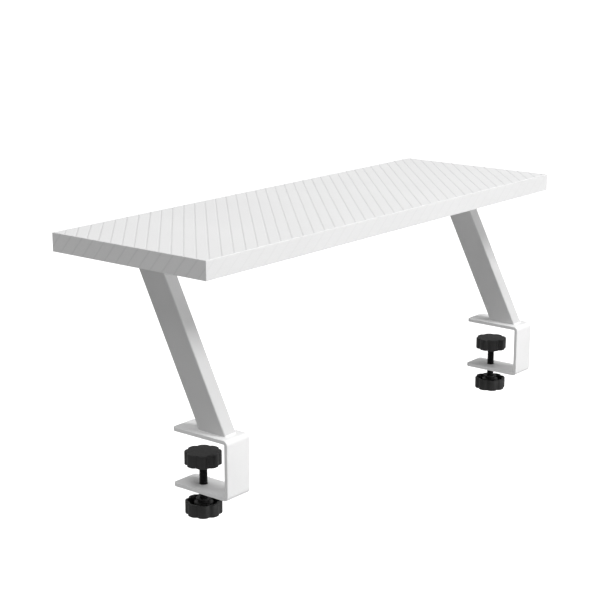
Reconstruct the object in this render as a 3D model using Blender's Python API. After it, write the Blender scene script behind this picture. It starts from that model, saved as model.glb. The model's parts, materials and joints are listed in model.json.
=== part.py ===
"""A clamp-on desk shelf: a laminated board on two slanting flat-tube legs, each welded to a C-shaped desk clamp.

Frame: +X runs along the board to the right-hand clamp, +Y points away from the user, +Z is up.
The origin is on the desk top's plane, at the edge that the clamps' webs meet, midway between the clamps.
Lengths are in metres and angles in radians.
"""

import math

import bmesh
import bpy

MM = 0.001
FIT_GAP = 0.3 * MM  # between pieces that rest on each other or are bonded
RUN_GAP = 0.2 * MM  # radial, between pieces that turn or slide in each other

# Board
BOARD_LENGTH = 600 * MM
BOARD_DEPTH = 200 * MM
BOARD_THICK = 19 * MM
BOARD_REAR = 4 * MM  # y of the rear face, level with the clamps' webs
BOARD_UNDER = 161 * MM  # z of the underside
LAMINATE = 0.6 * MM
EDGE_BAND = 1 * MM

# Clamp bracket, one flat bar bent to a C
CLAMP_X = 259 * MM
BAR_WIDE = 32 * MM
BAR_THICK = 4 * MM
CLAMP_TALL = 60 * MM
CLAMP_DEEP = 70 * MM
BEND_INSIDE = 1 * MM
BEND_STEPS = 5
FREE_CORNER = 4 * MM
CORNER_STEPS = 4

# Leg, a mitred rectangular tube
TUBE_WIDE = 16 * MM
TUBE_DEEP = 30 * MM
TUBE_WALL = 1.5 * MM
TUBE_CORNER = 1.2 * MM
LEG_LEAN = math.radians(27)
LEG_FOOT_REAR = -5 * MM  # y of the leg's rear face where it meets the bracket
WELD = 1.2 * MM

# Plate between leg and board, and its screws
PLATE_WIDE = 50 * MM
PLATE_DEEP = 120 * MM
PLATE_THICK = 3 * MM
PLATE_CORNER = 5 * MM
SCREW_SPREAD_X = 34 * MM
SCREW_SPREAD_Y = 100 * MM
SCREW_LONG = 16 * MM
SCREW_SHANK = 1.9 * MM
SCREW_HEAD = 4 * MM
SCREW_HEAD_LIP = 0.3 * MM
SCREW_SUNK = 0.2 * MM
SCREW_TIP = 4 * MM
PILOT_DEEP = 14 * MM

# Clamp screw
STUD_Y = -41 * MM
STUD_RADIUS = 4 * MM
SPIGOT_RADIUS = 3 * MM
GROOVE_RADIUS = 2.4 * MM
GROOVE_LONG = 1.2 * MM
HOLE_RADIUS = STUD_RADIUS + RUN_GAP

# Moulding shared by the hand knob and the pressure pad, measured from its flat face
KNOB_RADIUS = 18 * MM
LOBES = 8
FLUTE_DEEP = 1.8 * MM
FLUTE_SHARPNESS = 3
RIM_TALL = 13 * MM
RIM_WALL = 2.2 * MM
FACE_THICK = 2.6 * MM
BOSS_RADIUS = 9.6 * MM
BOSS_TALL = 11.4 * MM
NECK_RADIUS = 5.8 * MM
COLLAR_RADIUS = 7.4 * MM
COLLAR_BASE = 14.2 * MM
KNOB_TALL = 15.8 * MM
SOCKET_FLOOR = 3 * MM
SOCKET_TOP = 10 * MM
SOCKET_RADIUS = 6.3 * MM
KNOB_SEGMENTS = 5 * LOBES
PAD_FACE = -19 * MM  # z of the pad's flat face at rest
KNOB_FACE = -82 * MM  # z of the knob's flat face at rest
KNOB_TURN = {"right": math.radians(17.5), "left": math.radians(20.5)}

# Insert in the knob; cup and ring in the pad
INSERT_RADIUS = SOCKET_RADIUS - FIT_GAP
CUP_FLOOR = 1.5 * MM
RING_THICK = 0.6 * MM
RING_INSIDE = GROOVE_RADIUS + RUN_GAP
RING_OUTSIDE = 3.8 * MM
RING_OPENING = math.radians(50)
CUP_GROOVE_RADIUS = RING_OUTSIDE + FIT_GAP
ROUND_SEGMENTS = 24
SMALL_SEGMENTS = 16

SIDES = {"right": 1, "left": -1}

# Heights that follow from the above
BRACKET_TOP = BAR_THICK
BRACKET_BOTTOM = BRACKET_TOP - CLAMP_TALL
PLATE_TOP = BOARD_UNDER - FIT_GAP
PLATE_UNDER = PLATE_TOP - PLATE_THICK
LEG_BOTTOM = BRACKET_TOP + FIT_GAP
LEG_TOP = PLATE_UNDER - FIT_GAP
BOARD_TOP = BOARD_UNDER + BOARD_THICK
BOARD_FRONT = BOARD_REAR - BOARD_DEPTH
LEG_SECTION = TUBE_DEEP / math.cos(LEG_LEAN)
LEG_FOOT_Y = LEG_FOOT_REAR - LEG_SECTION / 2
PLATE_Y = LEG_FOOT_Y - (LEG_TOP - BRACKET_TOP) * math.tan(LEG_LEAN)


def clear_scene():
    for thing in list(bpy.data.objects):
        bpy.data.objects.remove(thing, do_unlink=True)


def make_material(name, colour, roughness, metallic=0.0):
    made = bpy.data.materials.new(name)
    made.use_nodes = True
    shader = made.node_tree.nodes["Principled BSDF"]
    shader.inputs["Base Color"].default_value = (*colour, 1.0)
    shader.inputs["Roughness"].default_value = roughness
    shader.inputs["Metallic"].default_value = metallic
    return made


def add_object(name, mesh_data, paint, parent=None, place=(0, 0, 0), turn=(0, 0, 0), smooth=None):
    """Links one object. smooth is the angle above which an edge stays sharp, or None for flat shading."""
    made = bpy.data.objects.new(name, mesh_data)
    bpy.context.scene.collection.objects.link(made)
    if not mesh_data.materials:
        mesh_data.materials.append(paint)
    made.parent = parent
    made.location = place
    made.rotation_euler = turn
    if smooth is not None:
        mesh_data.shade_smooth()
        mesh_data.set_sharp_from_angle(angle=smooth)
    return made


def add_empty(name, place):
    made = bpy.data.objects.new(name, None)
    bpy.context.scene.collection.objects.link(made)
    made.location = place
    return made


def mesh_from(name, bm):
    bmesh.ops.recalc_face_normals(bm, faces=bm.faces)
    made = bpy.data.meshes.new(name)
    bm.to_mesh(made)
    bm.free()
    return made


def box_mesh(name, low, high):
    bm = bmesh.new()
    bmesh.ops.create_cube(bm, size=1.0)
    bmesh.ops.scale(bm, vec=[b - a for a, b in zip(low, high)], verts=bm.verts)
    bmesh.ops.translate(bm, vec=[(a + b) / 2 for a, b in zip(low, high)], verts=bm.verts)
    return mesh_from(name, bm)


def join_rings(bm, rings, closed=False):
    """Bridges each ring of points to the next. Open ends get a cap; a closed set's last ring meets its first."""
    rows = [[bm.verts.new(point) for point in ring] for ring in rings]
    count = len(rows[0])
    pairs = list(zip(rows, rows[1:]))
    if closed:
        pairs.append((rows[-1], rows[0]))
    for here, there in pairs:
        for i in range(count):
            j = (i + 1) % count
            bm.faces.new((here[i], here[j], there[j], there[i]))
    if not closed:
        bm.faces.new(rows[0][::-1])
        bm.faces.new(rows[-1])


def circle(radius, z, segments, centre=(0.0, 0.0)):
    points = []
    for i in range(segments):
        angle = math.tau * i / segments
        points.append((centre[0] + radius * math.cos(angle), centre[1] + radius * math.sin(angle), z))
    return points


def turned_mesh(name, profile, segments, closed=False):
    """A solid of revolution about Z from (radius, z) pairs."""
    bm = bmesh.new()
    join_rings(bm, [circle(radius, z, segments) for radius, z in profile], closed)
    return mesh_from(name, bm)


def cut_holes(target, centres, profile, segments):
    """Cuts one turned hole in target at each of these (x, y) centres."""
    bm = bmesh.new()
    for centre in centres:
        join_rings(bm, [circle(radius, z, segments, centre) for radius, z in profile])
    cutter = add_object(target.name + "_cutter", mesh_from(target.name + "_cutter", bm), None)
    cutter.hide_render = True
    cutter.display_type = "WIRE"
    hole = target.modifiers.new("holes", "BOOLEAN")
    hole.operation = "DIFFERENCE"
    hole.object = cutter


def rounded_rectangle(half_x, half_y, corner, steps):
    """Counter-clockwise outline, with each corner as an arc."""
    points = []
    for quarter, (sx, sy) in enumerate(((1, 1), (-1, 1), (-1, -1), (1, -1))):
        for step in range(steps + 1):
            angle = math.pi / 2 * (quarter + step / steps)
            x = sx * (half_x - corner) + corner * math.cos(angle)
            y = sy * (half_y - corner) + corner * math.sin(angle)
            points.append((x, y))
    return points


# Board ---------------------------------------------------------------------------------------


def screw_centres(side):
    """Where the four screws of one plate stand."""
    middle = side * CLAMP_X
    return [
        (middle + sx * SCREW_SPREAD_X / 2, PLATE_Y + sy * SCREW_SPREAD_Y / 2)
        for sx in (-1, 1)
        for sy in (-1, 1)
    ]


def make_board(laminate, fibreboard):
    end = BOARD_LENGTH / 2
    inner_end = end - EDGE_BAND - FIT_GAP
    inner_rear = BOARD_REAR - EDGE_BAND - FIT_GAP
    inner_front = BOARD_FRONT + EDGE_BAND + FIT_GAP
    core_under = BOARD_UNDER + LAMINATE + FIT_GAP
    core_top = BOARD_TOP - LAMINATE - FIT_GAP
    all_screws = screw_centres(1) + screw_centres(-1)

    def layer(name, low_z, high_z, paint):
        low = (-inner_end, inner_front, low_z)
        high = (inner_end, inner_rear, high_z)
        return add_object(name, box_mesh(name, low, high), paint)

    core = layer("shelf_core", core_under, core_top, fibreboard)
    pilot = SCREW_SHANK + FIT_GAP
    pilot_profile = [(pilot, core_under - MM), (pilot, core_under + PILOT_DEEP)]
    cut_holes(core, all_screws, pilot_profile, SMALL_SEGMENTS)

    layer("shelf_top_laminate", BOARD_TOP - LAMINATE, BOARD_TOP, laminate)
    under = layer("shelf_bottom_laminate", BOARD_UNDER, BOARD_UNDER + LAMINATE, laminate)
    clear_profile = [(pilot, BOARD_UNDER - MM), (pilot, BOARD_UNDER + LAMINATE + MM)]
    cut_holes(under, all_screws, clear_profile, SMALL_SEGMENTS)

    bands = {
        "rear": ((-end, BOARD_REAR - EDGE_BAND), (end, BOARD_REAR)),
        "front": ((-end, BOARD_FRONT), (end, BOARD_FRONT + EDGE_BAND)),
        "right": ((end - EDGE_BAND, inner_front), (end, inner_rear)),
        "left": ((-end, inner_front), (-end + EDGE_BAND, inner_rear)),
    }
    for where, (low, high) in bands.items():
        name = "edge_band_" + where
        mesh_data = box_mesh(name, (*low, BOARD_UNDER), (*high, BOARD_TOP))
        add_object(name, mesh_data, laminate)


# Legs, plates and welds ----------------------------------------------------------------------


def leg_section(grow, height):
    """The tube's horizontal outline, this much bigger all round, where the slanting leg crosses this height."""
    corner = max(TUBE_CORNER + grow, 0.4 * MM)
    outline = rounded_rectangle(TUBE_WIDE / 2 + grow, TUBE_DEEP / 2 + grow, corner, 3)
    shift = (height - BRACKET_TOP) * math.tan(LEG_LEAN)
    stretch = 1 / math.cos(LEG_LEAN)
    return [(x, LEG_FOOT_Y + y * stretch - shift, height) for x, y in outline]


def make_leg(name, x, steel):
    bm = bmesh.new()
    rings = [
        leg_section(0, LEG_BOTTOM),
        leg_section(0, LEG_TOP),
        leg_section(-TUBE_WALL, LEG_TOP),
        leg_section(-TUBE_WALL, LEG_BOTTOM),
    ]
    join_rings(bm, rings, closed=True)
    add_object(name, mesh_from(name, bm), steel, place=(x, 0, 0), smooth=math.radians(35))


def make_weld(name, x, height, rise, steel):
    """A fillet round the tube, from the flat surface at this height, rising (+1) or hanging (-1) along the tube."""
    foot = height + rise * RUN_GAP
    bm = bmesh.new()
    rings = [
        leg_section(RUN_GAP, foot),
        leg_section(RUN_GAP + WELD, foot),
        leg_section(RUN_GAP, foot + rise * WELD),
    ]
    join_rings(bm, rings, closed=True)
    add_object(name, mesh_from(name, bm), steel, place=(x, 0, 0), smooth=math.radians(35))


def make_plate(name, side, steel):
    bm = bmesh.new()
    outline = rounded_rectangle(PLATE_WIDE / 2, PLATE_DEEP / 2, PLATE_CORNER, 3)
    middle = side * CLAMP_X
    rings = [[(middle + x, PLATE_Y + y, z) for x, y in outline] for z in (PLATE_UNDER, PLATE_TOP)]
    join_rings(bm, rings)
    plate = add_object(name, mesh_from(name, bm), steel)
    head = SCREW_HEAD + FIT_GAP
    shank = SCREW_SHANK + FIT_GAP
    cone_z = PLATE_UNDER + SCREW_SUNK + SCREW_HEAD_LIP
    profile = [
        (head, PLATE_UNDER - MM),
        (head, cone_z),
        (shank, cone_z + head - shank),
        (shank, PLATE_TOP + MM),
    ]
    cut_holes(plate, screw_centres(side), profile, SMALL_SEGMENTS)


def make_plate_screws(label, side, zinc):
    """Four wood screws with 90 degree countersunk heads, each pointing up into the board."""
    profile = [
        (SCREW_HEAD, 0),
        (SCREW_HEAD, SCREW_HEAD_LIP),
        (SCREW_SHANK, SCREW_HEAD_LIP + SCREW_HEAD - SCREW_SHANK),
        (SCREW_SHANK, SCREW_LONG - SCREW_TIP),
        (0.3 * MM, SCREW_LONG),
    ]
    mesh_data = turned_mesh("plate_screw", profile, SMALL_SEGMENTS)
    for number, (x, y) in enumerate(screw_centres(side), start=1):
        name = f"{label}_plate_screw_{number}"
        place = (x, y, PLATE_UNDER + SCREW_SUNK)
        add_object(name, mesh_data, zinc, place=place, smooth=math.radians(35))


# Clamp bracket -------------------------------------------------------------------------------


def bracket_profile():
    """(y, z) outline of the bent bar, seen from its side: round the outside, then back round the inside."""
    rear, front = BOARD_REAR, BOARD_REAR - CLAMP_DEEP
    outside = BEND_INSIDE + BAR_THICK

    def arc(y, z, radius, start, turn):
        steps = [start + turn * step / BEND_STEPS for step in range(BEND_STEPS + 1)]
        return [(y + radius * math.cos(a), z + radius * math.sin(a)) for a in steps]

    bend_y = rear - outside
    upper_z, lower_z = BRACKET_TOP - outside, BRACKET_BOTTOM + outside
    quarter = math.pi / 2
    points = [(front, BRACKET_TOP)]
    points += arc(bend_y, upper_z, outside, quarter, -quarter)
    points += arc(bend_y, lower_z, outside, 0, -quarter)
    points += [(front, BRACKET_BOTTOM), (front, BRACKET_BOTTOM + BAR_THICK)]
    points += arc(bend_y, lower_z, BEND_INSIDE, -quarter, quarter)
    points += arc(bend_y, upper_z, BEND_INSIDE, 0, quarter)
    points += [(front, BRACKET_TOP - BAR_THICK)]
    return points


def round_free_ends(bm):
    """Rounds the free corners of both flanges in plan."""
    front = BOARD_REAR - CLAMP_DEEP
    edges = [
        edge
        for edge in bm.edges
        if all(abs(vert.co.y - front) < 1e-6 for vert in edge.verts)
        and abs(edge.verts[0].co.x - edge.verts[1].co.x) < 1e-6
    ]
    bmesh.ops.bevel(
        bm, geom=edges, offset=FREE_CORNER, segments=CORNER_STEPS, profile=0.5, affect="EDGES"
    )


def make_bracket(name, x, steel):
    bm = bmesh.new()
    outline = bracket_profile()
    sides = [[(side * BAR_WIDE / 2, y, z) for y, z in outline] for side in (-1, 1)]
    join_rings(bm, sides)
    round_free_ends(bm)
    bmesh.ops.translate(bm, vec=(x, 0, 0), verts=bm.verts)
    bracket = add_object(name, mesh_from(name, bm), steel, smooth=math.radians(35))
    profile = [(HOLE_RADIUS, BRACKET_BOTTOM - MM), (HOLE_RADIUS, BRACKET_BOTTOM + BAR_THICK + MM)]
    cut_holes(bracket, [(x, STUD_Y)], profile, ROUND_SEGMENTS)


# Clamp screw, knob and pad -------------------------------------------------------------------


def lobed(inset, z):
    """The moulding's eight-lobed outline, this far inside its outer wall."""
    points = []
    for i in range(KNOB_SEGMENTS):
        angle = math.tau * i / KNOB_SEGMENTS
        flute = ((1 + math.cos(LOBES * angle)) / 2) ** FLUTE_SHARPNESS
        radius = KNOB_RADIUS - inset - FLUTE_DEEP * flute
        points.append((radius * math.cos(angle), radius * math.sin(angle), z))
    return points


def moulding_mesh():
    """A lobed hollow disc with a central boss, neck and collar. Its flat face is at z = 0, its collar on top."""

    def ring(radius, z):
        return circle(radius, z, KNOB_SEGMENTS)

    neck_bore = STUD_RADIUS + FIT_GAP
    bm = bmesh.new()
    rings = [
        lobed(0.8 * MM, 0),
        lobed(0, 0.8 * MM),
        lobed(0, RIM_TALL),
        lobed(RIM_WALL, RIM_TALL),
        lobed(RIM_WALL + 0.4 * MM, FACE_THICK),
        ring(BOSS_RADIUS, FACE_THICK),
        ring(BOSS_RADIUS - 0.3 * MM, BOSS_TALL),
        ring(NECK_RADIUS, BOSS_TALL),
        ring(NECK_RADIUS, COLLAR_BASE),
        ring(COLLAR_RADIUS, COLLAR_BASE + 0.4 * MM),
        ring(COLLAR_RADIUS, KNOB_TALL),
        ring(neck_bore, KNOB_TALL),
        ring(neck_bore, SOCKET_TOP),
        ring(SOCKET_RADIUS, SOCKET_TOP),
        ring(SOCKET_RADIUS, SOCKET_FLOOR),
    ]
    join_rings(bm, rings)
    return mesh_from("eight_lobe_moulding", bm)


def insert_mesh():
    """The knob's threaded insert, a plain tube here."""
    bore = STUD_RADIUS + RUN_GAP
    low, high = SOCKET_FLOOR + FIT_GAP, SOCKET_TOP - FIT_GAP
    profile = [(bore, low), (INSERT_RADIUS, low), (INSERT_RADIUS, high), (bore, high)]
    return turned_mesh("knob_insert", profile, ROUND_SEGMENTS, closed=True)


def groove_span():
    """Heights of the screw's ring groove, measured from the pad's flat face."""
    middle = (SOCKET_FLOOR + SOCKET_TOP) / 2 + 0.4 * MM
    return middle - GROOVE_LONG / 2, middle + GROOVE_LONG / 2


def cup_mesh():
    """The steel cup in the pad: a closed floor that takes the thrust, and a groove for the ring."""
    bore = SPIGOT_RADIUS + RUN_GAP
    low, high = SOCKET_FLOOR + FIT_GAP, SOCKET_TOP - FIT_GAP
    groove_low, groove_high = groove_span()
    profile = [
        (INSERT_RADIUS, low),
        (INSERT_RADIUS, high),
        (bore, high),
        (bore, groove_high),
        (CUP_GROOVE_RADIUS, groove_high),
        (CUP_GROOVE_RADIUS, groove_low),
        (bore, groove_low),
        (bore, low + CUP_FLOOR),
    ]
    return turned_mesh("swivel_cup", profile, ROUND_SEGMENTS)


def ring_mesh():
    """A snap ring with its opening towards +X."""
    middle = sum(groove_span()) / 2
    low, high = middle - RING_THICK / 2, middle + RING_THICK / 2
    corners = [(RING_INSIDE, low), (RING_OUTSIDE, low), (RING_OUTSIDE, high), (RING_INSIDE, high)]
    sweep = math.tau - RING_OPENING
    bm = bmesh.new()
    sections = []
    for step in range(ROUND_SEGMENTS + 1):
        angle = RING_OPENING / 2 + sweep * step / ROUND_SEGMENTS
        sections.append([(r * math.cos(angle), r * math.sin(angle), z) for r, z in corners])
    join_rings(bm, sections)
    return mesh_from("retaining_ring", bm)


def stud_mesh():
    """The screw, from its end in the knob to the spigot that turns in the pad's cup. z = 0 is the desk top's plane."""
    groove_low, groove_high = groove_span()
    tip = PAD_FACE - (SOCKET_FLOOR + FIT_GAP + CUP_FLOOR + FIT_GAP)
    shoulder = PAD_FACE - SOCKET_TOP
    chamfer = 0.8 * MM
    bottom = KNOB_FACE + SOCKET_FLOOR + FIT_GAP
    profile = [
        (STUD_RADIUS - chamfer, bottom),
        (STUD_RADIUS, bottom + chamfer),
        (STUD_RADIUS, shoulder),
        (SPIGOT_RADIUS, shoulder),
        (SPIGOT_RADIUS, PAD_FACE - groove_high),
        (GROOVE_RADIUS, PAD_FACE - groove_high),
        (GROOVE_RADIUS, PAD_FACE - groove_low),
        (SPIGOT_RADIUS, PAD_FACE - groove_low),
        (SPIGOT_RADIUS, tip - chamfer),
        (SPIGOT_RADIUS - chamfer, tip),
    ]
    return turned_mesh("clamp_screw", profile, ROUND_SEGMENTS)


def make_clamp_screws(paints):
    moulding, insert, cup, ring, stud = moulding_mesh(), insert_mesh(), cup_mesh(), ring_mesh(), stud_mesh()
    upside_down = math.pi
    for label, side in SIDES.items():
        axis = add_empty(label + "_screw_axis", (side * CLAMP_X, STUD_Y, 0))
        turn = KNOB_TURN[label]
        in_knob = {"parent": axis, "place": (0, 0, KNOB_FACE), "turn": (0, 0, turn)}
        in_pad = {"parent": axis, "place": (0, 0, PAD_FACE), "turn": (upside_down, 0, turn)}
        round_off = math.radians(35)
        add_object(label + "_hand_knob", moulding, paints["plastic"], **in_knob, smooth=round_off)
        add_object(label + "_knob_insert", insert, paints["brass"], **in_knob, smooth=round_off)
        add_object(label + "_pressure_pad", moulding, paints["plastic"], **in_pad, smooth=round_off)
        add_object(label + "_swivel_cup", cup, paints["zinc"], **in_pad, smooth=round_off)
        add_object(label + "_retaining_ring", ring, paints["spring"], **in_pad, smooth=round_off)
        add_object(label + "_clamp_screw", stud, paints["black_steel"], parent=axis, smooth=round_off)


def main():
    clear_scene()
    paints = {
        "laminate": make_material("white_laminate", (0.86, 0.86, 0.86), 0.5),
        "fibreboard": make_material("fibreboard", (0.45, 0.33, 0.21), 0.9),
        "white_steel": make_material("white_powder_coat", (0.87, 0.87, 0.87), 0.45),
        "black_steel": make_material("black_oxide_steel", (0.02, 0.02, 0.022), 0.42, 0.8),
        "plastic": make_material("black_plastic", (0.02, 0.02, 0.02), 0.5),
        "zinc": make_material("zinc_plate", (0.72, 0.73, 0.75), 0.35, 1.0),
        "brass": make_material("brass", (0.78, 0.6, 0.32), 0.35, 1.0),
        "spring": make_material("spring_steel", (0.25, 0.25, 0.27), 0.4, 1.0),
    }
    make_board(paints["laminate"], paints["fibreboard"])
    white = paints["white_steel"]
    for label, side in SIDES.items():
        x = side * CLAMP_X
        make_leg(label + "_leg_tube", x, white)
        make_weld(label + "_foot_weld", x, BRACKET_TOP, 1, white)
        make_weld(label + "_top_weld", x, PLATE_UNDER, -1, white)
        make_plate(label + "_shelf_plate", side, white)
        make_plate_screws(label, side, paints["zinc"])
        make_bracket(label + "_clamp_bracket", x, white)
    make_clamp_screws(paints)


main()
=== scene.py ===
"""Looks for the clamp-on desk shelf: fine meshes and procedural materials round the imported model.

Everything is in metres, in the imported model's frame: +X along the board, +Y rearwards, +Z up.
"""

import json
import math

import bmesh
import bpy
from mathutils import Matrix, Vector, noise


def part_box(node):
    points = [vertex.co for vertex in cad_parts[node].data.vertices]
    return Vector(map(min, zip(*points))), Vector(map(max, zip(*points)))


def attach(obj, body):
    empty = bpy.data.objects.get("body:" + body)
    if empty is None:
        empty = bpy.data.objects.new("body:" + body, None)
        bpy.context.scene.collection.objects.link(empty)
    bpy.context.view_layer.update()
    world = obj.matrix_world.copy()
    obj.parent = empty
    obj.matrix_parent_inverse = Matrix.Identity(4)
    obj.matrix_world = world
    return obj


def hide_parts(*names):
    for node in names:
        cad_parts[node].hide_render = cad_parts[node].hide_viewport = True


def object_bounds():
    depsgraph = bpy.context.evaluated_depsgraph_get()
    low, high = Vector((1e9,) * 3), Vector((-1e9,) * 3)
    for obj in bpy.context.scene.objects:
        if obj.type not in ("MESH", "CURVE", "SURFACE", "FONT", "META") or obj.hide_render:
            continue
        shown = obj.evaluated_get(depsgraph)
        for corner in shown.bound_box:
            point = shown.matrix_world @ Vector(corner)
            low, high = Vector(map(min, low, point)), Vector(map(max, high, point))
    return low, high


MM = 0.001
SIDES = ("right", "left")
ROUND = math.radians(32)  # an edge that turns by more than this stays sharp

# Decorative film. Each face's grooves are their angle from its first axis, their offset and strength; the strength
# scales their depth and the painted shade in them.
GROOVE_PITCH = 11.375 * MM
GROOVE_HALF = 1.15 * MM
GROOVE_FLOOR = 0.25  # the flat floor's share of the groove's width
GROOVE_DEEP = 0.22 * MM
TOP_GROOVES = (math.radians(43), 6.0 * MM, 1.0)
LONG_GROOVES = (math.radians(40), 4.0 * MM, 0.22)
END_GROOVES = (math.radians(50), 6.0 * MM, 0.5)
BAND_EDGE = 0.5 * MM
SEAM_EDGE = 0.06 * MM
SEAM_GAP = 0.02 * MM

# Leg tubes and their welds
TUBE_WALL = 1.5 * MM
TUBE_CORNER = 1.4 * MM
TUBE_CORNER_INSIDE = 0.4 * MM
WELD_SUNK = 0.3 * MM
WELD_STEP = 0.55 * MM
WELD_RIPPLE = 0.09
WELD_COARSE, WELD_FINE = 420, 1500  # scales of the bead's unevenness, per metre
WELD_DRESSED = 0.6  # how much less of the bead is left on the tube's side faces

# Shelf plates, with countersunk seats for their screws
PLATE_CORNER = 5 * MM
PLATE_EDGE = 0.4 * MM
SEAT_HEAD = 4.3 * MM
SEAT_SHANK = 2.2 * MM
SEAT_LIP = 0.5 * MM
SEAT_CHAMFER = 0.25 * MM

# Clamp bracket, bent from flat bar
BAR_EDGE = 0.65 * MM
BEND_INSIDE = 1 * MM
BEND_STEPS = 12
FREE_CORNER = 4 * MM
# Sections near a free end, as millimetres from it. They crowd together where the corner is steepest.
END_REACHES = (0, 0.02, 0.06, 0.13, 0.23, 0.36, 0.52, 0.72, 0.95, 1.25, 1.6, 2.1, 2.7, 3.4, 4.0, 4.5)
SCREW_HOLE = 4.2 * MM
HOLE_CHAMFER = 0.5 * MM

# M8 clamp screw, with a spigot that turns in the pad
SCREW_RADIUS = 4.0 * MM
SCREW_CHAMFER = 0.9 * MM
THREAD_PITCH = 1.25 * MM
THREAD_ROOT = 3.35 * MM
THREAD_STEPS = 32
SPIGOT_RADIUS = 3.0 * MM
SPIGOT_CHAMFER = 0.8 * MM
SPIGOT_SUNK = 2 * MM  # it starts this far inside the threaded part
RING_GROOVE_RADIUS = 2.4 * MM
RING_GROOVE_HALF = 0.6 * MM
RING_GROOVE_LOWER = 0.4 * MM  # below the middle of the pad's socket

# Moulding of the hand knob and the pressure pad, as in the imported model
KNOB_RADIUS = 18 * MM
KNOB_TURN = {"right": math.radians(17.5), "left": math.radians(20.5)}
LOBES = 8
FLUTE_DEEP = 1.8 * MM
FLUTE_SHARPNESS = 3
STEPS_PER_LOBE = 16
RIM_TALL = 13 * MM
RIM_WALL = 2.2 * MM
FACE_THICK = 2.6 * MM
BOSS_RADIUS = 9.6 * MM
BOSS_TALL = 11.4 * MM
NECK_RADIUS = 5.8 * MM
NECK_BORE = 4.3 * MM
COLLAR_RADIUS = 7.4 * MM
COLLAR_BASE = 14.2 * MM
SOCKET_RADIUS = 6.3 * MM
SOCKET_FLOOR = 3 * MM
SOCKET_TOP = 10 * MM

# Camera
CAMERA_PLACE = (1.2677, 0.8882, 0.4733)
CAMERA_AZIMUTH = math.radians(38.78)
CAMERA_DOWN = math.radians(14.12)
CAMERA_LENS = 91.0
CAMERA_SENSOR = 36.0

# Studio. Each light is its direction from +Y towards -X and its height, in degrees, its size and power.
LIGHTS = {
    "key": (20, 52, (1.2, 1.2), 61),
    "rear": (10, 2, (3.0, 0.8), 30),
    "top": (0, 88, (2.6, 2.6), 2),
    "right": (-80, 65, (1.6, 1.6), 22),
    "left": (75, 45, (1.6, 1.6), 17),
    "front": (180, 40, (2.0, 2.0), 8),
}
LIGHT_AIM = (0, -0.08, 0.08)
LIGHT_AWAY = 3.3
AMBIENT = 0.3
FLOOR_REACH = 30
FLOOR_BELOW = 0.22

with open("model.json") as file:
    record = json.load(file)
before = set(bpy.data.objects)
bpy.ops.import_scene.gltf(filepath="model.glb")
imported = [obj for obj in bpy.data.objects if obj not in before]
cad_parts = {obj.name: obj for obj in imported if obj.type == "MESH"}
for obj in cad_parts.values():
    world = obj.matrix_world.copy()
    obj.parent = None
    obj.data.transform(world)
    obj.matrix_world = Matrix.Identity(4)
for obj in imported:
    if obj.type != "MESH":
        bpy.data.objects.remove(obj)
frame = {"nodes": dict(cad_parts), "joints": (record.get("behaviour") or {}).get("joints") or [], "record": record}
CAD_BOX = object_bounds()


# Frame -----------------------------------------------------------------------------------------


def end_box(node, top):
    """Lowest and highest corner of the ring of vertices at a node's top or bottom."""
    points = [vertex.co for vertex in frame["nodes"][node].data.vertices]
    heights = [point.z for point in points]
    height = max(heights) if top else min(heights)
    ring = [point for point in points if abs(point.z - height) < 0.01 * MM]
    low = Vector(min(point[axis] for point in ring) for axis in range(3))
    high = Vector(max(point[axis] for point in ring) for axis in range(3))
    return low, high


def joint_place(name):
    found = [joint for joint in frame["joints"] if joint["name"] == name]
    return Vector(found[0]["pos_m"])


# Mesh tools ------------------------------------------------------------------------------------


def to_mesh(name, bm, smooth=ROUND):
    bmesh.ops.recalc_face_normals(bm, faces=bm.faces)
    made = bpy.data.meshes.new(name)
    bm.to_mesh(made)
    bm.free()
    if smooth:
        made.shade_smooth()
        made.set_sharp_from_angle(angle=smooth)
    return made


def new_object(name, mesh, matrix=None):
    made = bpy.data.objects.new(name, mesh)
    bpy.context.scene.collection.objects.link(made)
    if matrix is not None:
        made.matrix_world = matrix
    return made


def add_piece(node, mesh, slot, body, matrix=None):
    """Links the piece that stands for a CAD node, rides on a body and has its slot's material."""
    made = new_object(node + "_look", mesh, matrix)
    if not mesh.materials:
        mesh.materials.append(PAINTS[slot])
    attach(made, body)
    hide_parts(node)


def join_rings(bm, rings, closed=False):
    """Bridges each ring of points to the next. A closed set's last ring meets its first, others get caps."""
    rows = [[bm.verts.new(point) for point in ring] for ring in rings]
    count = len(rows[0])
    pairs = list(zip(rows, rows[1:]))
    if closed:
        pairs.append((rows[-1], rows[0]))
    for here, there in pairs:
        for i in range(count):
            j = (i + 1) % count
            bm.faces.new((here[i], here[j], there[j], there[i]))
    if not closed:
        bm.faces.new(rows[0][::-1])
        bm.faces.new(rows[-1])


def rings_mesh(name, rings, closed=False, smooth=ROUND):
    bm = bmesh.new()
    join_rings(bm, rings, closed)
    return to_mesh(name, bm, smooth)


def circle(radius, z, segments, centre=(0.0, 0.0)):
    angles = [math.tau * i / segments for i in range(segments)]
    return [(centre[0] + radius * math.cos(a), centre[1] + radius * math.sin(a), z) for a in angles]


def rounded_rectangle(half_x, half_y, corner, steps):
    """Counter-clockwise outline, with each corner as an arc."""
    points = []
    for quarter, (sx, sy) in enumerate(((1, 1), (-1, 1), (-1, -1), (1, -1))):
        for step in range(steps + 1):
            angle = math.pi / 2 * (quarter + step / steps)
            x = sx * (half_x - corner) + corner * math.cos(angle)
            y = sy * (half_y - corner) + corner * math.sin(angle)
            points.append((x, y))
    return points


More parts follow.
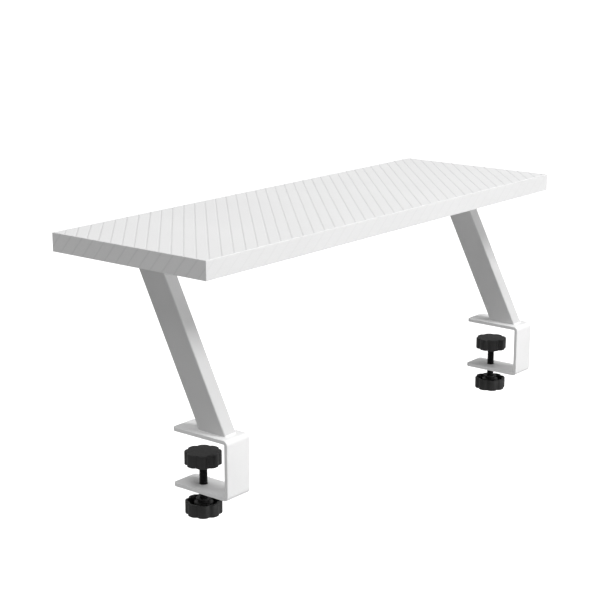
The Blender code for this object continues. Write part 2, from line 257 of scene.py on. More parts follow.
def combined(mesh, other, operation):
    """The mesh of a Boolean between two meshes."""
    target, tool = new_object("combined", mesh), new_object("tool", other)
    step = target.modifiers.new("combine", "BOOLEAN")
    step.operation = operation
    step.object = tool
    bpy.context.view_layer.update()
    graph = bpy.context.evaluated_depsgraph_get()
    made = bpy.data.meshes.new_from_object(target.evaluated_get(graph))
    made.name = mesh.name
    for thing in (target, tool):
        bpy.data.objects.remove(thing)
    made.shade_smooth()
    made.set_sharp_from_angle(angle=ROUND)
    return made


def threaded_rod(name, radius, root, pitch, low, high, limit):
    """A right-hand thread cut square at both ends. limit(z) is the largest radius at a height."""
    profile = ((-1 / 16, radius), (1 / 16, radius), (3 / 8, root), (5 / 8, root))  # pitch's share, radius
    bm = bmesh.new()
    rows = []
    for i in range(THREAD_STEPS * (math.ceil((high - low) / pitch) + 3) + 1):
        angle = math.tau * i / THREAD_STEPS
        base = low + pitch * (i / THREAD_STEPS - 1.5)
        row = []
        for share, wide in profile:
            z = base + share * pitch
            r = min(wide, limit(z))
            row.append(bm.verts.new((r * math.cos(angle), r * math.sin(angle), z)))
        rows.append(row)
    last = len(profile) - 1
    for i, (here, there) in enumerate(zip(rows, rows[1:])):
        for j in range(last):
            bm.faces.new((here[j], there[j], there[j + 1], here[j + 1]))
        above = i + THREAD_STEPS
        if above + 1 < len(rows):
            bm.faces.new((here[last], there[last], rows[above + 1][0], rows[above][0]))
    for height, outwards in ((low, -1), (high, 1)):
        cut = bmesh.ops.bisect_plane(
            bm,
            geom=bm.verts[:] + bm.edges[:] + bm.faces[:],
            plane_co=(0, 0, height),
            plane_no=(0, 0, outwards),
            clear_outer=True,
        )
        rim = [item for item in cut["geom_cut"] if isinstance(item, bmesh.types.BMEdge)]
        bmesh.ops.contextual_create(bm, geom=rim)
    return to_mesh(name, bm)


# Materials -------------------------------------------------------------------------------------


class Nodes:
    """Short ways to build one material's node tree."""

    def __init__(self, name):
        self.material = bpy.data.materials.new(name)
        self.material.use_nodes = True
        self.tree = self.material.node_tree
        self.shader = self.tree.nodes["Principled BSDF"]
        self.place = self.add("ShaderNodeTexCoord").outputs["Object"]

    def add(self, kind, links=(), **settings):
        """A new node. Each of its links is an input with the socket that feeds it, or with a plain value."""
        made = self.tree.nodes.new(kind)
        for key, value in settings.items():
            setattr(made, key, value)
        for key, value in dict(links).items():
            if isinstance(value, bpy.types.NodeSocket):
                self.tree.links.new(value, made.inputs[key])
            else:
                made.inputs[key].default_value = value
        return made

    def set(self, **values):
        for key, value in values.items():
            self.shader.inputs[key.replace("_", " ")].default_value = value

    def feed(self, key, socket):
        self.tree.links.new(socket, self.shader.inputs[key])

    def speckle(self, scale, detail=3.0, stretch=None, turn=0.0):
        """Noise in the object's own metres; stretch lengthens its grain, turn rotates it about Z."""
        place = self.place
        if stretch:
            links = {"Vector": place, "Rotation": (0, 0, turn), "Scale": stretch}
            place = self.add("ShaderNodeMapping", links).outputs["Vector"]
        links = {"Vector": place, "Scale": scale, "Detail": detail}
        return self.add("ShaderNodeTexNoise", links).outputs["Fac"]

    def between(self, value, low, high, start=0.3, stop=0.7):
        """Maps a noise value from start..stop to low..high."""
        links = {"Value": value, "From Min": start, "From Max": stop, "To Min": low, "To Max": high}
        return self.add("ShaderNodeMapRange", links).outputs["Result"]

    def blend(self, factor, first, second):
        """Mixes two colours, from the first at a factor of 0 to the second at 1."""
        links = {0: factor, 6: first, 7: second}
        return self.add("ShaderNodeMix", links, data_type="RGBA").outputs[2]

    def grain(self, height, distance, strength=1.0, under=None):
        """Bump from a height, which may lie over another bump."""
        links = {"Height": height, "Distance": distance, "Strength": strength}
        if under is not None:
            links["Normal"] = under
        return self.add("ShaderNodeBump", links).outputs["Normal"]


def rgb(red, green, blue):
    return (red, green, blue, 1.0)


def grey(level):
    return rgb(level, level, level)


def film_material():
    """White decorative film with a fine embossed grain; painted shade darkens the grooves a little."""
    nodes = Nodes("white_film")
    groove = nodes.add("ShaderNodeAttribute", attribute_name="groove").outputs["Fac"]
    along = (30, 1400, 1400)
    streaks = nodes.between(nodes.speckle(1.0, 4.0, along, -TOP_GROOVES[0]), 0.0, 1.0)
    patches = nodes.between(nodes.speckle(9.0, 2.0), 0.0, 1.0)
    land = nodes.blend(streaks, grey(0.815), rgb(0.84, 0.84, 0.842))
    land = nodes.blend(patches, land, grey(0.85))
    # Painted shade: the groove attribute darkens the film's colour in the grooves' recesses.
    nodes.feed("Base Color", nodes.blend(groove, land, rgb(0.72, 0.72, 0.722)))
    nodes.feed("Roughness", nodes.between(nodes.speckle(240.0), 0.44, 0.58))
    grain = nodes.grain(nodes.speckle(1900.0, 2.0), 0.02 * MM, 0.5)
    nodes.feed("Normal", nodes.grain(streaks, 0.015 * MM, 0.4, grain))
    return nodes.material


def powder_coat_material(name, dark, light):
    """White satin powder coat with the soft dimples of its orange peel."""
    nodes = Nodes(name)
    patches = nodes.between(nodes.speckle(16.0), 0.0, 1.0)
    nodes.feed("Base Color", nodes.blend(patches, dark, light))
    nodes.feed("Roughness", nodes.between(nodes.speckle(320.0), 0.36, 0.48))
    peel = nodes.grain(nodes.speckle(620.0, 1.0), 0.05 * MM, 0.45)
    nodes.feed("Normal", nodes.grain(nodes.speckle(2600.0, 2.0), 0.008 * MM, 0.5, peel))
    return nodes.material


def plastic_material():
    """Black moulded nylon: spark-eroded texture, a little worn and paler on its edges."""
    nodes = Nodes("black_plastic")
    worn = nodes.between(nodes.add("ShaderNodeNewGeometry").outputs["Pointiness"], 0.0, 1.0, 0.52, 0.60)
    patches = nodes.between(nodes.speckle(90.0), 0.0, 1.0)
    body = nodes.blend(patches, grey(0.010), grey(0.014))
    nodes.feed("Base Color", nodes.blend(worn, body, grey(0.028)))
    nodes.feed("Roughness", nodes.between(nodes.speckle(500.0), 0.36, 0.5))
    coarse = nodes.grain(nodes.speckle(1400.0, 3.0), 0.03 * MM, 0.5)
    nodes.feed("Normal", nodes.grain(nodes.speckle(4200.0, 2.0), 0.01 * MM, 0.5, coarse))
    return nodes.material


def black_steel_material():
    """Black-oxide screw steel, rubbed a little paler on the thread's crests."""
    nodes = Nodes("black_oxide_steel")
    nodes.set(Metallic=0.7)
    crest = nodes.between(nodes.add("ShaderNodeNewGeometry").outputs["Pointiness"], 0.0, 1.0, 0.53, 0.70)
    rubbed = nodes.between(nodes.speckle(700.0), 0.0, 0.6)
    wear = nodes.add("ShaderNodeMath", {0: crest, 1: rubbed}, operation="MULTIPLY").outputs[0]
    nodes.feed("Base Color", nodes.blend(wear, rgb(0.022, 0.022, 0.023), rgb(0.09, 0.088, 0.085)))
    nodes.feed("Roughness", nodes.between(nodes.speckle(420.0), 0.34, 0.5))
    nodes.feed("Normal", nodes.grain(nodes.speckle(3000.0, 2.0), 0.01 * MM, 0.4))
    return nodes.material


def metal_material(name, dark, light, roughness, scratch):
    """Bare or plated metal: cloudy colour, turned scratches and uneven polish."""
    nodes = Nodes(name)
    nodes.set(Metallic=1.0)
    clouds = nodes.between(nodes.speckle(260.0, 4.0), 0.0, 1.0)
    nodes.feed("Base Color", nodes.blend(clouds, dark, light))
    nodes.feed("Roughness", nodes.between(nodes.speckle(800.0), *roughness))
    turned = nodes.speckle(1.0, 3.0, (200, 200, 6000))
    nodes.feed("Normal", nodes.grain(turned, scratch))
    return nodes.material


def fibreboard_material():
    """Raw fibreboard, its short fibres lying flat in it."""
    nodes = Nodes("fibreboard")
    fibres = nodes.between(nodes.speckle(1.0, 6.0, (500, 500, 2500)), 0.0, 1.0)
    nodes.feed("Base Color", nodes.blend(fibres, rgb(0.27, 0.18, 0.10), rgb(0.52, 0.39, 0.25)))
    nodes.feed("Roughness", nodes.between(fibres, 0.8, 0.95, 0.0, 1.0))
    nodes.feed("Normal", nodes.grain(fibres, 0.2 * MM, 0.6))
    return nodes.material


PAINTS = {
    "board_laminate": film_material(),
    "fibreboard": fibreboard_material(),
    "powder_coated_steel": powder_coat_material("white_powder_coat", grey(0.89), grey(0.92)),
    "black_oxide_steel": black_steel_material(),
    "black_plastic": plastic_material(),
    "zinc_plated_steel": metal_material(
        "zinc_plate", rgb(0.60, 0.61, 0.63), rgb(0.74, 0.75, 0.76), (0.26, 0.42), 0.01 * MM
    ),
    "brass": metal_material("brass", rgb(0.70, 0.50, 0.22), rgb(0.82, 0.62, 0.30), (0.25, 0.4), 0.015 * MM),
    "spring_steel": metal_material(
        "spring_steel", rgb(0.15, 0.15, 0.16), rgb(0.27, 0.27, 0.29), (0.32, 0.48), 0.01 * MM
    ),
}
# The leg tubes' coat: a greyer copy of the brackets' white powder coat, painted shade that darkens the legs
LEG_COAT_WITH_PAINTED_SHADE = powder_coat_material("leg_coat_painted_shade", grey(0.67), grey(0.715))


def paint_nodes():
    """Every CAD node takes the material of its slot, including those that stay in view."""
    for row in frame["record"]["subparts"]:
        data = frame["nodes"][row["node"]].data
        data.materials.clear()
        data.materials.append(PAINTS[row["material_slot"]])


# Board -----------------------------------------------------------------------------------------


def edge_drop(distance, radius):
    """How far a rounded edge falls below its face at this distance inside the outline."""
    if distance >= radius:
        return 0.0
    return radius - math.sqrt(radius**2 - (radius - distance) ** 2)


def film_sheet(name, u_span, v_span, thick, basis, softness, grooves=None):
    """A rectangular sheet with rounded edges and, on its outer face, slanting grooves.

    basis takes (u, v, w) to the frame, with w out of the face. softness is the edge radius at
    u's start and end and v's start and end. grooves is the grooves' angle, offset and strength,
    which scales both their depth and the painted shade in them.
    """
    bm = bmesh.new()
    corners = [(u_span[0], v_span[0]), (u_span[1], v_span[0]), (u_span[1], v_span[1]), (u_span[0], v_span[1])]
    bm.faces.new([bm.verts.new((u, v, 0)) for u, v in corners])

    def cut(across, offset):
        geometry = bm.verts[:] + bm.edges[:] + bm.faces[:]
        point = (across[0] * offset, across[1] * offset, 0)
        bmesh.ops.bisect_plane(bm, geom=geometry, plane_co=point, plane_no=(*across, 0), dist=1e-7)

    limits = (u_span[0], u_span[1], v_span[0], v_span[1])
    for side, radius in enumerate(softness):
        inwards = 1 if side % 2 == 0 else -1
        across = (1, 0) if side < 2 else (0, 1)
        for degrees in (30, 60, 90):
            cut(across, limits[side] + inwards * radius * (1 - math.cos(math.radians(degrees))))

    across, centres, strength = (0, 1), [], 0.0
    if grooves:
        angle, offset, strength = grooves
        across = (-math.sin(angle), math.cos(angle))
        reach = [u * across[0] + v * across[1] for u, v in corners]
        first = math.floor((min(reach) - offset) / GROOVE_PITCH)
        final = math.ceil((max(reach) - offset) / GROOVE_PITCH)
        centres = [offset + GROOVE_PITCH * number for number in range(first, final + 1)]
        for centre in centres:
            for share in (-1, -GROOVE_FLOOR, GROOVE_FLOOR, 1):
                cut(across, centre + share * GROOVE_HALF)

    # Each vertex's groove value sets its depth and the painted shade that darkens the groove's colour.
    shade = bm.verts.layers.float.new("groove")
    for vertex in bm.verts:
        u, v, _ = vertex.co
        distances = (u - u_span[0], u_span[1] - u, v - v_span[0], v_span[1] - v)
        drop = max(edge_drop(max(d, 0.0), r) for d, r in zip(distances, softness))
        if centres:
            reach = u * across[0] + v * across[1]
            nearest = abs((reach - centres[0] + GROOVE_PITCH / 2) % GROOVE_PITCH - GROOVE_PITCH / 2)
            depth = (1 - nearest / GROOVE_HALF) / (1 - GROOVE_FLOOR)
            vertex[shade] = strength * min(max(depth, 0.0), 1.0)
            drop += GROOVE_DEEP * vertex[shade]
        vertex.co.z = -drop

    border = [edge for edge in bm.edges if edge.is_boundary]
    skirt = bmesh.ops.extrude_edge_only(bm, edges=border)["geom"]
    for item in skirt:
        if isinstance(item, bmesh.types.BMVert):
            item.co.z = -thick
            item[shade] = 0.0
    bmesh.ops.contextual_create(bm, geom=[item for item in skirt if isinstance(item, bmesh.types.BMEdge)])
    bmesh.ops.transform(bm, matrix=basis, verts=bm.verts)
    return to_mesh(name, bm, smooth=None)


def face_basis(u_axis, v_axis, level):
    """Takes (u, v, w) to the frame for a face whose outward direction is u x v, at this level along it."""
    u, v = Vector(u_axis), Vector(v_axis)
    out = u.cross(v)
    basis = Matrix((u, v, out)).transposed().to_4x4()
    basis.translation = out * level
    return basis


def make_board():
    low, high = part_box("edge_band_rear")
    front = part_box("edge_band_front")[0].y
    band = high.y - low.y
    rear, end = high.y, high.x
    under, top = low.z, high.z
    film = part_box("shelf_top_laminate")
    film_thick = film[1].z - film[0].z

    inner_x = (-end + band + SEAM_GAP, end - band - SEAM_GAP)
    inner_y = (front + band + SEAM_GAP, rear - band - SEAM_GAP)
    turned_y = (-inner_y[1], -inner_y[0])
    heights = (under, top)
    seams = (SEAM_EDGE,) * 4
    open_ends = (SEAM_EDGE, SEAM_EDGE, BAND_EDGE, BAND_EDGE)
    all_round = (BAND_EDGE,) * 4
    leaning_back = (math.pi - END_GROOVES[0], *END_GROOVES[1:])
    right, left, back, ahead, up = (1, 0, 0), (-1, 0, 0), (0, 1, 0), (0, -1, 0), (0, 0, 1)
    layers = {
        "shelf_top_laminate": (inner_x, inner_y, film_thick, right, back, top, seams, TOP_GROOVES),
        "shelf_bottom_laminate": (inner_x, turned_y, film_thick, right, ahead, -under, seams, None),
        "edge_band_rear": ((-end, end), heights, band, left, up, rear, all_round, LONG_GROOVES),
        "edge_band_front": ((-end, end), heights, band, right, up, -front, all_round, LONG_GROOVES),
        "edge_band_right": (inner_y, heights, band, back, up, end, open_ends, END_GROOVES),
        "edge_band_left": (turned_y, heights, band, ahead, up, end, open_ends, leaning_back),
    }
    for node, (u_span, v_span, thick, u_axis, v_axis, level, softness, grooves) in layers.items():
        basis = face_basis(u_axis, v_axis, level)
        mesh = film_sheet(node, u_span, v_span, thick, basis, softness, grooves)
        add_piece(node, mesh, "board_laminate", "frame")


# Legs, welds and plates ------------------------------------------------------------------------


class Leg:
    """The slanting tube's size and place, read from its CAD node."""

    def __init__(self, node):
        low, high = end_box(node, top=False)
        upper_low, upper_high = end_box(node, top=True)
        self.x = (low.x + high.x) / 2
        self.half_x = (high.x - low.x) / 2
        self.foot_y = (low.y + high.y) / 2
        self.foot_z = low.z
        self.shear = ((upper_low.y + upper_high.y) / 2 - self.foot_y) / (upper_low.z - low.z)
        self.stretch = math.hypot(1, self.shear)
        self.half_y = (high.y - low.y) / 2 / self.stretch

    def section(self, grow, z, steps):
        """The tube's outline, this much bigger all round, where a level plane crosses it."""
        corner = max(TUBE_CORNER + grow, TUBE_CORNER_INSIDE)
        outline = rounded_rectangle(self.half_x + grow, self.half_y + grow, corner, steps)
        middle = self.foot_y + self.shear * (z - self.foot_z)
        return [(self.x + x, middle + y * self.stretch, z) for x, y in outline]


def leg_mesh(leg, bottom, top):
    steps = 6
    rings = [
        leg.section(0, bottom, steps),
        leg.section(0, top, steps),
        leg.section(-TUBE_WALL, top, steps),
        leg.section(-TUBE_WALL, bottom, steps),
    ]
    return rings_mesh("leg_tube", rings, closed=True)


def spaced_outline(points, step):
    """The same closed outline with a point at least every step."""
    spaced = []
    for here, there in zip(points, points[1:] + points[:1]):
        here, there = Vector(here), Vector(there)
        count = max(1, round((there - here).length / step))
        spaced += [here.lerp(there, i / count) for i in range(count)]
    return spaced


def weld_mesh(name, leg, level, rise, size):
    """A hollow fillet bead round the tube with the faint ripples of its runs, up (+1) or down (-1)."""
    bead_steps = 6
    base = spaced_outline(leg.section(0, level, 6), WELD_STEP)
    rings = [[] for _ in range(bead_steps + 3)]
    for i, point in enumerate(base):
        centre = Vector((leg.x, leg.foot_y + leg.shear * (level - leg.foot_z), level))
        before, after = base[i - 1], base[(i + 1) % len(base)]
        along = (after - before).normalized()
        outwards = along.cross(Vector((0, 0, 1)))
        if outwards.dot(point - centre) < 0:
            outwards.negate()
        sway = noise.noise(point * WELD_COARSE) + 0.6 * noise.noise(point * WELD_FINE)
        bead = size * (1 + WELD_RIPPLE * sway) * (1 - WELD_DRESSED * abs(outwards.x))
        steps = [(-WELD_SUNK, 0.0)]
        for step in range(bead_steps + 1):
            angle = math.pi / 2 * step / bead_steps
            steps.append((bead * (1 - math.sin(angle)), bead * (1 - math.cos(angle))))
        steps.append((-WELD_SUNK, bead))
        for ring, (grow, lift) in zip(rings, steps):
            z = rise * lift
            ring.append(point + outwards * grow + Vector((0, leg.shear * z, z)))
    return rings_mesh(name, rings, closed=True, smooth=math.radians(60))


def soft_plate_rings(outline, low, high, edge):
    """Rings of a flat plate with rounded edges, from an outline function of the inset."""
    steps = 3
    rings = []
    for level, way in ((low, 1), (high, -1)):
        for step in range(steps + 1):
            share = step if way == 1 else steps - step
            angle = math.pi / 2 * share / steps
            inset = edge * (1 - math.sin(angle))
            z = level + way * edge * (1 - math.cos(angle))
            rings.append([(x, y, z) for x, y in outline(inset)])
    return rings


def hole_mesh(name, centres, profile, segments):
    """A turned cutter at each centre, from the (radius, z) points of its profile."""
    bm = bmesh.new()
    for centre in centres:
        join_rings(bm, [circle(radius, z, segments, centre) for radius, z in profile])
    return to_mesh(name, bm)


def shelf_plate_mesh(node, top, screws):
    low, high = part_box(node)
    middle = (low + high) / 2
    half = (high - low) / 2

    def outline(inset):
        points = rounded_rectangle(half.x - inset, half.y - inset, PLATE_CORNER - inset, 8)
        return [(middle.x + x, middle.y + y) for x, y in points]

    solid = rings_mesh(node, soft_plate_rings(outline, low.z, top, PLATE_EDGE))
    wide = SEAT_HEAD + SEAT_CHAMFER
    seat = low.z + SEAT_LIP
    profile = [(wide, low.z - MM), (wide, low.z), (SEAT_HEAD, low.z + SEAT_CHAMFER), (SEAT_HEAD, seat)]
    profile += [(SEAT_SHANK, seat + SEAT_HEAD - SEAT_SHANK), (SEAT_SHANK, top + MM)]
    centres = [(place.x, place.y) for place in screws]
    return combined(solid, hole_mesh("holes", centres, profile, 40), "DIFFERENCE")


def wood_screw_mesh(length):
    """A countersunk wood screw, head at z = 0, with a cross recess and a tapered thread."""
    head, neck, thread, root = 4.0 * MM, 1.35 * MM, 1.9 * MM, 1.3 * MM
    lip, edge = 0.3 * MM, 0.12 * MM
    profile = [(head - edge, 0), (head, edge), (head, lip), (neck, lip + head - neck), (neck, lip + head)]
    body = rings_mesh("screw_head", [circle(radius, z, 40) for radius, z in profile])

    pitch, start, stop = 1.7 * MM, 3.4 * MM, length - 0.05 * MM
    tip, tip_long, point = 0.25 * MM, 4 * MM, 0.1 * MM

    def limit(z):
        taper = tip + (length - z) / tip_long * thread
        run_out = neck + max(z - head, 0) * 0.5
        return max(min(taper, thread, run_out), point)

    body = combined(body, threaded_rod("screw_thread", thread, root, pitch, start, stop, limit), "UNION")

    arm, wide = 2.3 * MM, 0.5 * MM
    cross = []
    for quarter in range(4):
        turn = Matrix.Rotation(math.pi / 2 * quarter, 2)
        cross += [turn @ Vector(corner) for corner in ((arm, -wide), (arm, wide), (wide, wide))]
    recess = ((1.15, 1.15, -0.3), (1, 1, 0.1), (0.62, 0.75, 1.3), (0.3, 0.3, 2.1))  # shares of x and y, depth
    rings = [[(share_x * x, share_y * y, deep * MM) for x, y in cross] for share_x, share_y, deep in recess]
    return combined(body, rings_mesh("recess", rings), "DIFFERENCE")


def make_legs():
    screw_mesh = None
    coat = "powder_coated_steel"
    board_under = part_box("shelf_bottom_laminate")[0].z
    for label in SIDES:
        leg = Leg(label + "_leg_tube")
        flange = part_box(label + "_clamp_bracket")[1].z
        plate_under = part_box(label + "_shelf_plate")[0].z
        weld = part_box(label + "_foot_weld")
        weld_size = (weld[1].x - weld[0].x) / 2 - leg.half_x

        tube = leg_mesh(leg, flange + SEAM_GAP, plate_under - SEAM_GAP)
        # The tube takes the greyer copy of the coat, painted shade on the legs.
        tube.materials.append(LEG_COAT_WITH_PAINTED_SHADE)
        add_piece(label + "_leg_tube", tube, coat, "frame")
        for end, level, rise in (("foot", flange, 1), ("top", plate_under, -1)):
            node = f"{label}_{end}_weld"
            add_piece(node, weld_mesh(node, leg, level, rise, weld_size), coat, "frame")

        screws = []
        for number in range(1, 5):
            node = f"{label}_plate_screw_{number}"
            low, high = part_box(node)
            place = Vector(((low.x + high.x) / 2, (low.y + high.y) / 2, low.z))
            screws.append(place)
            screw_mesh = screw_mesh or wood_screw_mesh(high.z - low.z)
            turn = Matrix.Rotation(0.7 * number + leg.x * 9, 4, "Z")  # each was driven to its own angle
            add_piece(node, screw_mesh, "zinc_plated_steel", "frame", Matrix.Translation(place) @ turn)
        node = label + "_shelf_plate"
        add_piece(node, shelf_plate_mesh(node, board_under - SEAM_GAP, screws), coat, "frame")


# Clamp bracket ---------------------------------------------------------------------------------


def bar_stations(low, high, thick):
    """Stations along the bent bar, from the upper free end to the lower one.

    Each is the bar's centre (y, z), the direction across its thickness (y, z) and the distance to the
    nearer free end.
    """
    half = thick / 2
    bend = BEND_INSIDE + half
    top, bottom = high.z - half, low.z + half
    bend_y = high.y - half - bend
    run = bend_y - low.y
    reaches = [reach * MM for reach in END_REACHES]
    reaches += [run * share for share in (0.25, 0.5, 0.75)]
    stations = [(low.y + reach, top, 0.0, 1.0, reach) for reach in reaches]
    for corner_z, start in ((top - bend, math.pi / 2), (bottom + bend, 0.0)):
        for step in range(BEND_STEPS + 1):
            angle = start - math.pi / 2 * step / BEND_STEPS
            y, z = math.cos(angle), math.sin(angle)
            stations.append((bend_y + bend * y, corner_z + bend * z, y, z, run))
    stations += [(low.y + reach, bottom, 0.0, -1.0, reach) for reach in reversed(reaches)]
    return stations


def bracket_mesh(node, axis):
    low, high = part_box(node)
    thick = high.z  # the upper flange lies on the desk top, at z = 0
    middle_x, half_x = (low.x + high.x) / 2, (high.x - low.x) / 2
    rings = []
    for y, z, out_y, out_z, distance in bar_stations(low, high, thick):
        wide = half_x - edge_drop(distance, FREE_CORNER)
        deep = thick / 2 - edge_drop(distance, BAR_EDGE)
        section = rounded_rectangle(wide, deep, min(BAR_EDGE, 0.9 * deep), 4)
        rings.append([(middle_x + x, y + out_y * t, z + out_z * t) for x, t in section])
    solid = rings_mesh(node, rings)
    wide = SCREW_HOLE + HOLE_CHAMFER
    floor, roof = low.z, low.z + thick
    profile = [(wide, floor - MM), (wide, floor), (SCREW_HOLE, floor + HOLE_CHAMFER)]
    profile += [(SCREW_HOLE, roof - HOLE_CHAMFER), (wide, roof), (wide, roof + MM)]
    return combined(solid, hole_mesh("hole", [(axis.x, axis.y)], profile, 48), "DIFFERENCE")


def make_brackets():
    for label in SIDES:
        node = label + "_clamp_bracket"
        mesh = bracket_mesh(node, joint_place(label + "_screw_turn"))
        add_piece(node, mesh, "powder_coated_steel", "frame")


# Clamp screw, knob and pad ---------------------------------------------------------------------


def arc(reach, z, size, start, stop, steps=3):
    """(reach, z) points along an arc round a centre, from start to stop degrees, 0 outwards and 90 up."""
    angles = [math.radians(start + (stop - start) * step / steps) for step in range(steps + 1)]
    return [(reach + size * math.cos(angle), z + size * math.sin(angle)) for angle in angles]


def lobed(grow, z):
    """A level ring on the fluted outline, this much bigger all round."""
    count = LOBES * STEPS_PER_LOBE
    points = []
    for i in range(count):
        angle = math.tau * i / count
        flute = ((1 + math.cos(LOBES * angle)) / 2) ** FLUTE_SHARPNESS
        reach = KNOB_RADIUS + grow - FLUTE_DEEP * flute
        points.append((reach * math.cos(angle), reach * math.sin(angle), z))
    return points


def rim_profile():
    """(grow, z) points: out over the flat face, up the side, over the lip and down the inner wall."""
    base, lip, crest, root, draft = 1.1 * MM, 0.5 * MM, 0.35 * MM, 0.9 * MM, 0.4 * MM
    inside, floor = -RIM_WALL - draft, FACE_THICK + root
    profile = [(-base - inwards, 0) for inwards in (9 * MM, 3 * MM)]
    profile += arc(-base, base, base, -90, 0, 5)
    profile += arc(-lip, RIM_TALL - lip, lip, 0, 90, 4)
    profile += arc(crest - RIM_WALL, RIM_TALL - crest, crest, 90, 180)
    profile += arc(inside - root, floor, root, 0, -90, 4)
    return profile


def stem_profile(tall):
    """(reach, z) points: up the boss, the neck and the collar, then down the bore into the socket."""
    fine, foot, draft = 0.3 * MM, 0.7 * MM, 0.3 * MM
    profile = arc(BOSS_RADIUS + foot, FACE_THICK + foot, foot, 270, 180)
    profile += arc(BOSS_RADIUS - draft - fine, BOSS_TALL - fine, fine, 0, 90)
    profile += arc(NECK_RADIUS + fine, BOSS_TALL + fine, fine, 270, 180)
    profile += arc(NECK_RADIUS + fine, COLLAR_BASE - fine, fine, 180, 90)
    profile += arc(COLLAR_RADIUS - fine, COLLAR_BASE + fine, fine, 270, 360)
    profile += arc(COLLAR_RADIUS - fine, tall - fine, fine, 0, 90)
    profile += arc(NECK_BORE + fine, tall - fine, fine, 90, 180)
    profile += [(NECK_BORE, SOCKET_TOP), (SOCKET_RADIUS, SOCKET_TOP)]
    profile += [(SOCKET_RADIUS, SOCKET_FLOOR), (SOCKET_RADIUS / 2, SOCKET_FLOOR)]
    return profile


def moulding_mesh(tall):
    """Lobed hollow disc with a boss, neck and collar. Its flat face is at z = 0."""
    rings = [lobed(grow, z) for grow, z in rim_profile()]
    rings += [circle(reach, z, LOBES * STEPS_PER_LOBE) for reach, z in stem_profile(tall)]
    return rings_mesh("lobed_moulding", rings)


def stud_mesh(low, high, pad_face):
    """The M8 screw: a rolled thread with chamfered ends, and the grooved spigot that turns in the pad."""
    shoulder = pad_face - SOCKET_TOP

    def limit(z):
        return SCREW_RADIUS - SCREW_CHAMFER + max(min(z - low, shoulder - z), 0)

    thread = threaded_rod("clamp_screw", SCREW_RADIUS, THREAD_ROOT, THREAD_PITCH, low, shoulder, limit)
    groove = pad_face - (SOCKET_FLOOR + SOCKET_TOP) / 2 - RING_GROOVE_LOWER
    floor, roof = groove - RING_GROOVE_HALF, groove + RING_GROOVE_HALF
    profile = [
        (SPIGOT_RADIUS, shoulder - SPIGOT_SUNK),
        (SPIGOT_RADIUS, floor),
        (RING_GROOVE_RADIUS, floor),
        (RING_GROOVE_RADIUS, roof),
        (SPIGOT_RADIUS, roof),
        (SPIGOT_RADIUS, high - SPIGOT_CHAMFER),
        (SPIGOT_RADIUS - SPIGOT_CHAMFER, high),
    ]
    spigot = rings_mesh("spigot", [circle(reach, z, 48) for reach, z in profile])
    return combined(thread, spigot, "UNION")


def make_clamp_screws():
    knob_low, knob_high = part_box("right_hand_knob")
    stud_low, stud_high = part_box("right_clamp_screw")
    moulding = moulding_mesh(knob_high.z - knob_low.z)
    stud = stud_mesh(stud_low.z, stud_high.z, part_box("right_pressure_pad")[1].z)
    over = Matrix.Rotation(math.pi, 4, "X")
    for label in SIDES:
        axis = joint_place(label + "_screw_turn")
        turn = Matrix.Rotation(KNOB_TURN[label], 4, "Z")
        knob_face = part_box(label + "_hand_knob")[0].z
        pad_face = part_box(label + "_pressure_pad")[1].z
        pieces = (
            ("clamp_screw", stud, "black_oxide_steel", "screw", 0, Matrix()),
            ("hand_knob", moulding, "black_plastic", "screw", knob_face, turn),
            ("pressure_pad", moulding, "black_plastic", "pad", pad_face, turn @ over),
        )
        for part, mesh, slot, body, level, spin in pieces:
            matrix = Matrix.Translation((axis.x, axis.y, level)) @ spin
            add_piece(f"{label}_{part}", mesh, slot, f"{label}_{body}", matrix)


# Stage -----------------------------------------------------------------------------------------


def make_camera():
    data = bpy.data.cameras.new("camera")
    data.lens = CAMERA_LENS
    data.sensor_width = CAMERA_SENSOR
    camera = bpy.data.objects.new("camera", data)
    bpy.context.scene.collection.objects.link(camera)
    level = math.cos(CAMERA_DOWN)
    across, along = math.cos(CAMERA_AZIMUTH), math.sin(CAMERA_AZIMUTH)
    look = Vector((-level * across, -level * along, -math.sin(CAMERA_DOWN)))
    camera.location = CAMERA_PLACE
    camera.rotation_mode = "QUATERNION"
    camera.rotation_quaternion = look.to_track_quat("-Z", "Y")
    bpy.context.scene.camera = camera


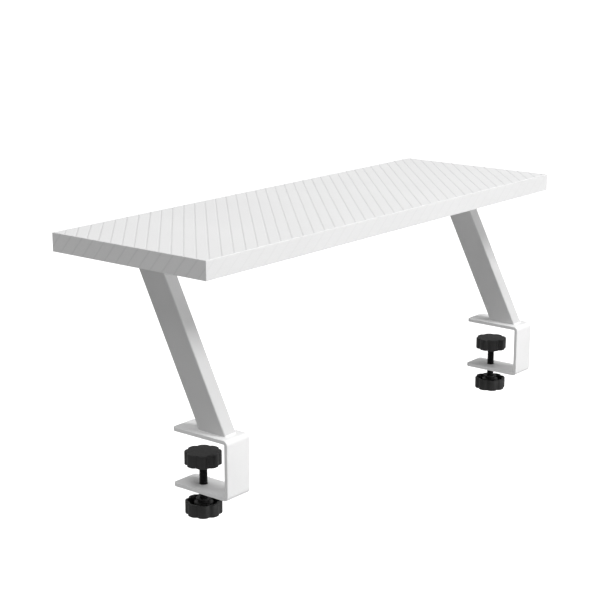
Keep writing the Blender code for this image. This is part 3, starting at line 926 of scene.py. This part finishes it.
def add_light(name, turn, height, size, power):
    """A soft rectangular light that faces the shelf. turn is its direction from +Y towards -X."""
    turn, height = math.radians(turn), math.radians(height)
    level = math.cos(height)
    way = Vector((-level * math.sin(turn), level * math.cos(turn), math.sin(height)))
    data = bpy.data.lights.new(name, "AREA")
    data.shape = "RECTANGLE"
    data.size, data.size_y = size
    data.energy = power
    light = bpy.data.objects.new(name, data)
    bpy.context.scene.collection.objects.link(light)
    light.location = Vector(LIGHT_AIM) + way * LIGHT_AWAY
    light.rotation_mode = "QUATERNION"
    light.rotation_quaternion = way.to_track_quat("Z", "Y")


def make_lights():
    """The lights, and a white world that lights the shelf less than it shows to the camera."""
    for name, (turn, height, size, power) in LIGHTS.items():
        add_light(name, turn, height, size, power)
    world = bpy.data.worlds.new("studio")
    bpy.context.scene.world = world
    world.use_nodes = True
    tree = world.node_tree
    seen = tree.nodes.new("ShaderNodeLightPath").outputs["Is Camera Ray"]
    mix = tree.nodes.new("ShaderNodeMix")
    mix.inputs["A"].default_value = AMBIENT
    mix.inputs["B"].default_value = 1.0
    tree.links.new(seen, mix.inputs["Factor"])
    tree.links.new(mix.outputs["Result"], tree.nodes["Background"].inputs["Strength"])
    tree.nodes["Background"].inputs["Color"].default_value = grey(1)


def make_floor():
    """A plain pale floor, white to the camera and grey to the light that it throws back."""
    level = CAD_BOX[0].z - FLOOR_BELOW
    corners = ((-1, -1), (1, -1), (1, 1), (-1, 1))
    bm = bmesh.new()
    bm.faces.new([bm.verts.new((x * FLOOR_REACH, y * FLOOR_REACH, level)) for x, y in corners])
    floor = new_object("floor", to_mesh("floor", bm, smooth=None))
    nodes = Nodes("floor")
    nodes.set(Roughness=0.9, Base_Color=grey(0.5))
    seen = nodes.add("ShaderNodeLightPath").outputs["Is Camera Ray"]
    glow = nodes.add("ShaderNodeEmission", {"Color": grey(1), "Strength": 1.0}).outputs[0]
    both = nodes.add("ShaderNodeAddShader", {0: nodes.shader.outputs[0], 1: glow}).outputs[0]
    mixed = nodes.add("ShaderNodeMixShader", {0: seen, 1: nodes.shader.outputs[0], 2: both}).outputs[0]
    nodes.tree.links.new(mixed, nodes.tree.nodes["Material Output"].inputs["Surface"])
    floor.data.materials.append(nodes.material)


bpy.context.scene.view_settings.view_transform = "Standard"
make_camera()
make_lights()
make_floor()
paint_nodes()
make_board()
make_legs()
make_brackets()
make_clamp_screws()

bpy.context.view_layer.update()
